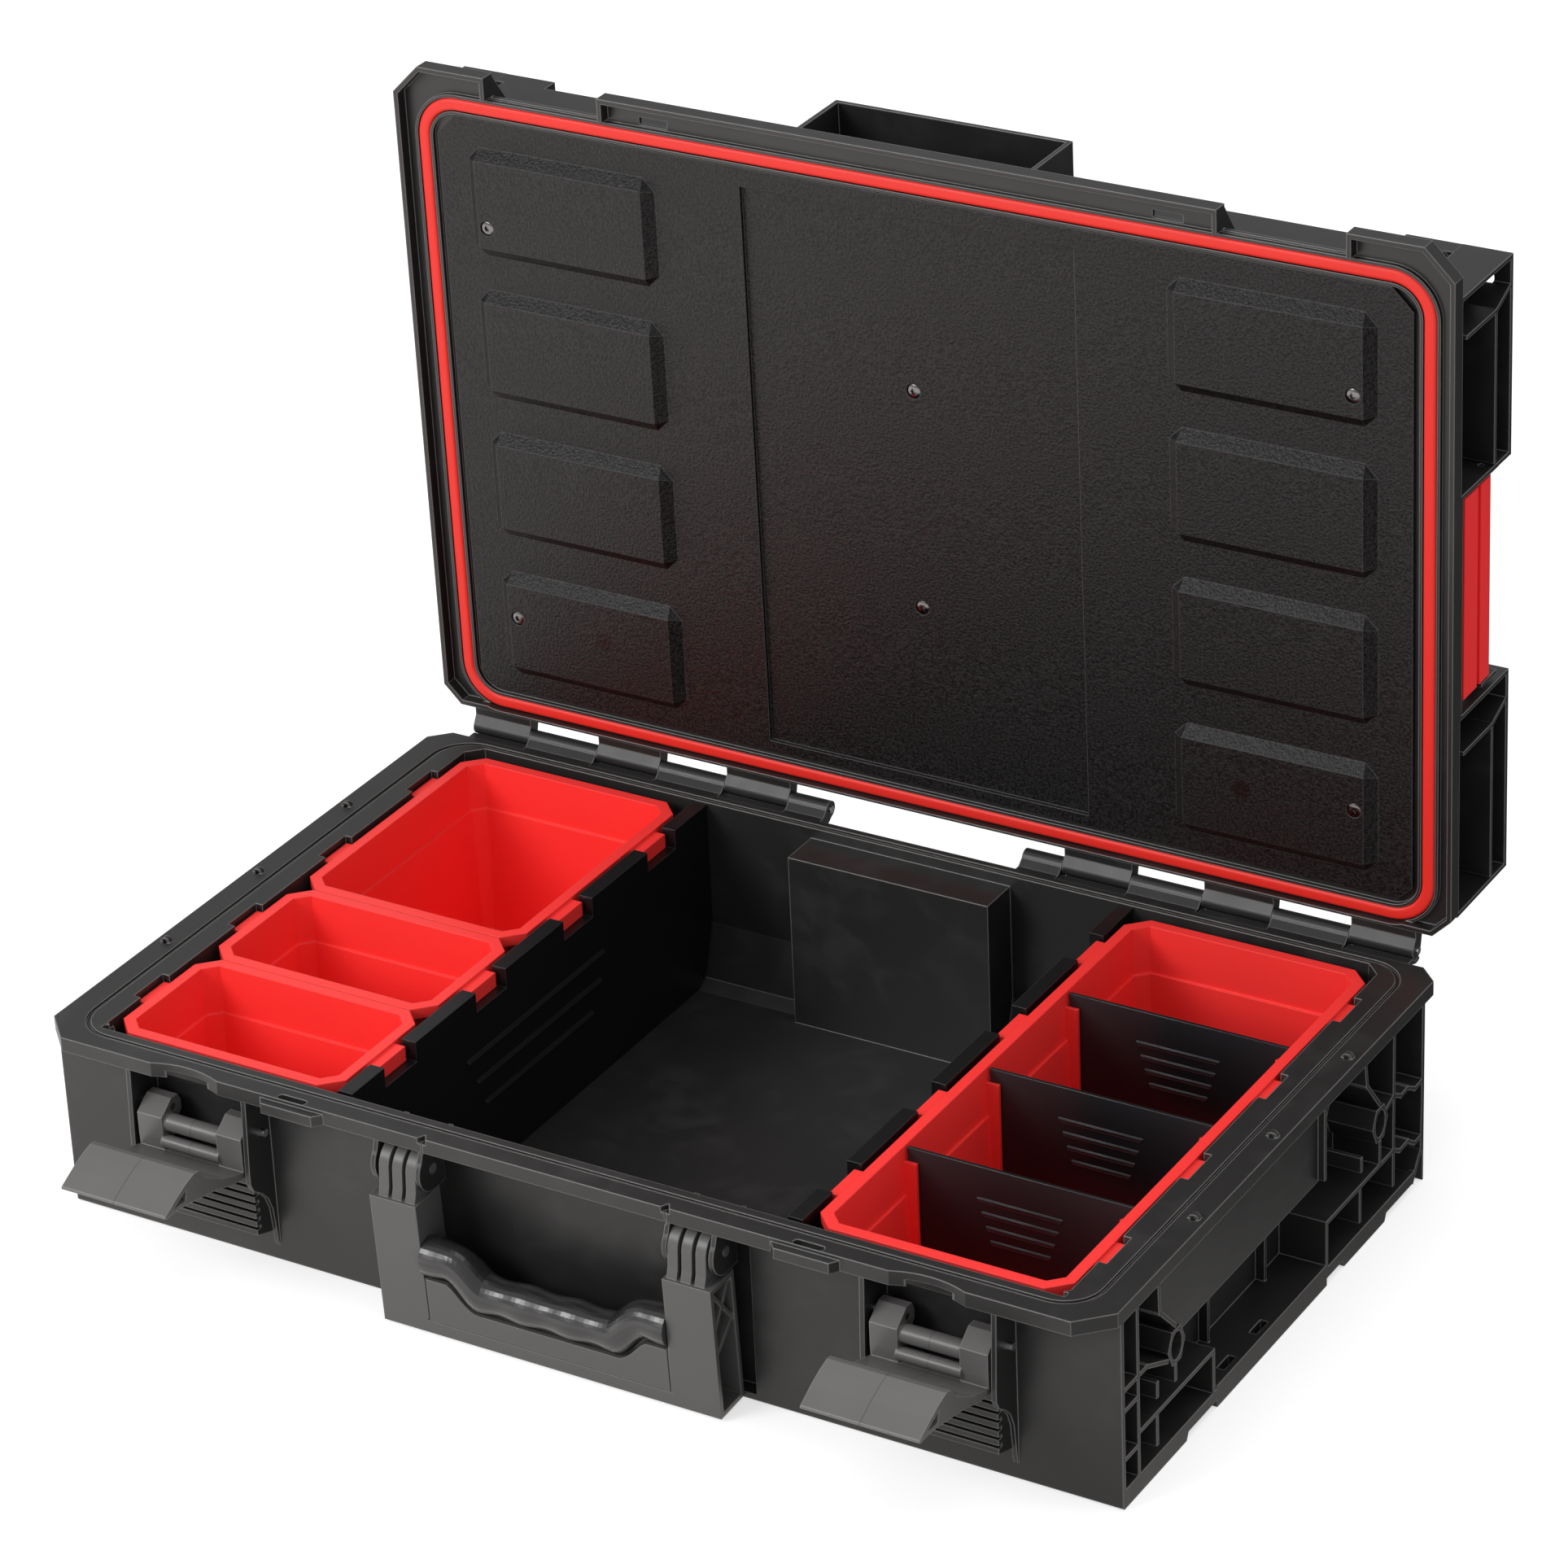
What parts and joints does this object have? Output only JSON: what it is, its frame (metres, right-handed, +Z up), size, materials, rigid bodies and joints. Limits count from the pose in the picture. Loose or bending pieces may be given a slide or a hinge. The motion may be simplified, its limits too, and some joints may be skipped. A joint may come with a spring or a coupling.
{
  "type": "hard tool case",
  "caption": "Hard tool case standing open: hinged lid with a seal, front latches, folding carry handle, side clips, lift-out red bins and loose dividers",
  "frame": {"origin": "on the underside, at the middle of the width, where the mount rest_face is", "axes": "+X to the right along the front, +Y to the back where the hinge is, +Z up"},
  "size_m": [0.585, 0.4915, 0.4827],
  "materials": {
    "base_plastic": "fine moulded texture, black",
    "lid_plastic": "fine moulded texture, black",
    "liner_plastic": "grained, black",
    "insert_plastic": "satin, black",
    "divider_plastic": "satin, black",
    "latch_plastic": "satin, dark grey",
    "handle_plastic": "satin, dark grey",
    "grip_plastic": "smooth, glossy black",
    "bin_plastic": "satin, bright red",
    "clip_plastic": "smooth, red",
    "seal_rubber": "soft, red",
    "pin_steel": "bright zinc plated",
    "screw_steel": "blackened"
  },
  "bodies": {
    "base": {"base_shell": "base_plastic", "partition_left": "insert_plastic", "partition_right": "insert_plastic", "latch_pin_left": "pin_steel", "latch_pin_right": "pin_steel", "handle_pin_left": "pin_steel", "handle_pin_right": "pin_steel", "hinge_pin_left": "pin_steel", "hinge_pin_right": "pin_steel"},
    "lid": {"lid_shell": "lid_plastic", "lid_liner": "liner_plastic", "lid_seal": "seal_rubber", "liner_screws": "screw_steel", "clip_pin_left": "pin_steel", "clip_pin_right": "pin_steel"},
    "side_clip_left": {"side_clip_left": "clip_plastic"},
    "side_clip_right": {"side_clip_right": "clip_plastic"},
    "latch_left": {"latch_left": "latch_plastic"},
    "latch_right": {"latch_right": "latch_plastic"},
    "handle": {"handle_frame": "handle_plastic", "handle_grip": "grip_plastic"},
    "bin_front": {"bin_front": "bin_plastic"},
    "bin_middle": {"bin_middle": "bin_plastic"},
    "bin_back": {"bin_back": "bin_plastic"},
    "bin_long": {"bin_long": "bin_plastic"},
    "divider_front": {"divider_front": "divider_plastic"},
    "divider_middle": {"divider_middle": "divider_plastic"},
    "divider_back": {"divider_back": "divider_plastic"}
  },
  "joints": [
    {"name": "lid_hinge", "type": "hinge", "parent": "base", "child": "lid", "pos_m": [0, 0.1785, 0.1087], "axis": [-1, 0, 0], "range_deg": [-89, 0]},
    {"name": "latch_left_lever", "type": "hinge", "parent": "base", "child": "latch_left", "pos_m": [-0.204, -0.1775, 0.078], "axis": [1, 0, 0], "range_deg": [-88, 0]},
    {"name": "latch_right_lever", "type": "hinge", "parent": "base", "child": "latch_right", "pos_m": [0.204, -0.1775, 0.078], "axis": [1, 0, 0], "range_deg": [-88, 0]},
    {"name": "handle_fold", "type": "hinge", "parent": "base", "child": "handle", "pos_m": [0, -0.18, 0.087], "axis": [-1, 0, 0], "range_deg": [0, 90]},
    {"name": "clip_left_swing", "type": "hinge", "parent": "lid", "child": "side_clip_left", "pos_m": [-0.2865, 0.21749, 0.29841], "axis": [0, 0.0175, -0.9998], "range_deg": [0, 120]},
    {"name": "clip_right_swing", "type": "hinge", "parent": "lid", "child": "side_clip_right", "pos_m": [0.2865, 0.21749, 0.29841], "axis": [0, -0.0175, 0.9998], "range_deg": [0, 120]},
    {"name": "bin_front_lift", "type": "slide", "parent": "base", "child": "bin_front", "axis": [0, 0, 1], "range_m": [0, 0.12]},
    {"name": "bin_middle_lift", "type": "slide", "parent": "base", "child": "bin_middle", "axis": [0, 0, 1], "range_m": [0, 0.12]},
    {"name": "bin_back_lift", "type": "slide", "parent": "base", "child": "bin_back", "axis": [0, 0, 1], "range_m": [0, 0.12]},
    {"name": "bin_long_lift", "type": "slide", "parent": "base", "child": "bin_long", "axis": [0, 0, 1], "range_m": [0, 0.12]},
    {"name": "divider_front_lift", "type": "slide", "parent": "bin_long", "child": "divider_front", "axis": [0, 0, 1], "range_m": [0, 0.1]},
    {"name": "divider_middle_lift", "type": "slide", "parent": "bin_long", "child": "divider_middle", "axis": [0, 0, 1], "range_m": [0, 0.1]},
    {"name": "divider_back_lift", "type": "slide", "parent": "bin_long", "child": "divider_back", "axis": [0, 0, 1], "range_m": [0, 0.1]}
  ]
}
